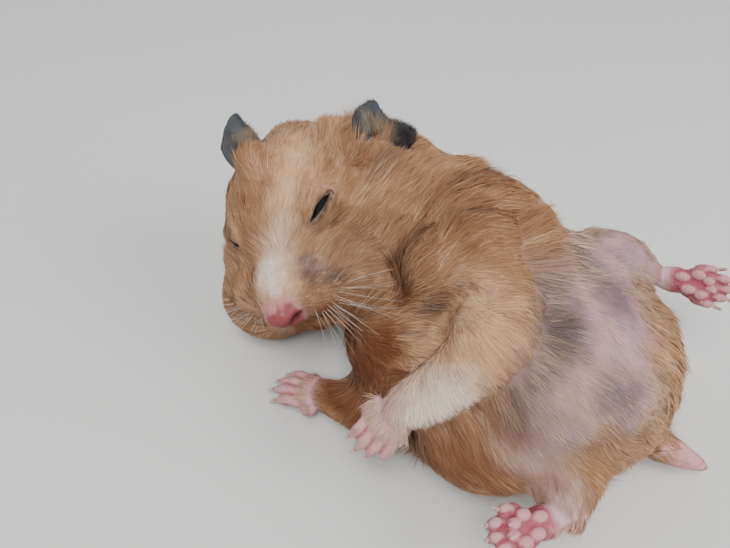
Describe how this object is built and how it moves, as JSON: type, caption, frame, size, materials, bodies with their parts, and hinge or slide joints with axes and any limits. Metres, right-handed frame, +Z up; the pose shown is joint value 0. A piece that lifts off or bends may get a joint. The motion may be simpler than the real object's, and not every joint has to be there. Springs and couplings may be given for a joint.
{
  "type": "syrian hamster",
  "caption": "Life-size still model of a golden Syrian hamster asleep on its back and right side, head turned up, paws held before it.",
  "frame": {"origin": "middle of the underside of the bounding box, on the plane the animal lies on", "axes": "+Z up; +X from the head towards the tail; -Y towards the side that the muzzle and the soles face"},
  "size_m": [0.1064, 0.086, 0.0494],
  "materials": {
    "coat": "golden brown fur, matt",
    "belly coat": "thin fur over mauve skin",
    "bare skin": "pink bare skin",
    "ear skin": "dark grey bare skin",
    "eye": "black and wet",
    "claw": "pale horn"
  },
  "bodies": {
    "root": {"belly": "belly coat", "chest": "coat", "claw_forepaw_left_1": "claw", "claw_forepaw_left_2": "claw", "claw_forepaw_left_3": "claw", "claw_forepaw_left_4": "claw", "claw_forepaw_right_1": "claw", "claw_forepaw_right_2": "claw", "claw_forepaw_right_3": "claw", "claw_forepaw_right_4": "claw", "claw_hind_foot_left_1": "claw", "claw_hind_foot_left_2": "claw", "claw_hind_foot_left_3": "claw", "claw_hind_foot_left_4": "claw", "claw_hind_foot_left_5": "claw", "claw_hind_foot_right_1": "claw", "claw_hind_foot_right_2": "claw", "claw_hind_foot_right_3": "claw", "claw_hind_foot_right_4": "claw", "claw_hind_foot_right_5": "claw", "ear_left": "ear skin", "ear_right": "ear skin", "eye_left": "eye", "eye_right": "eye", "forearm_left": "coat", "forearm_right": "coat", "forepaw_left": "bare skin", "forepaw_right": "bare skin", "head": "coat", "hind_foot_left": "bare skin", "hind_foot_right": "bare skin", "neck": "coat", "nose": "bare skin", "rump": "coat", "shank_left": "coat", "shank_right": "coat", "tail": "bare skin", "thigh_left": "coat", "thigh_right": "coat", "upper_arm_left": "coat", "upper_arm_right": "coat"}
  },
  "joints": []
}
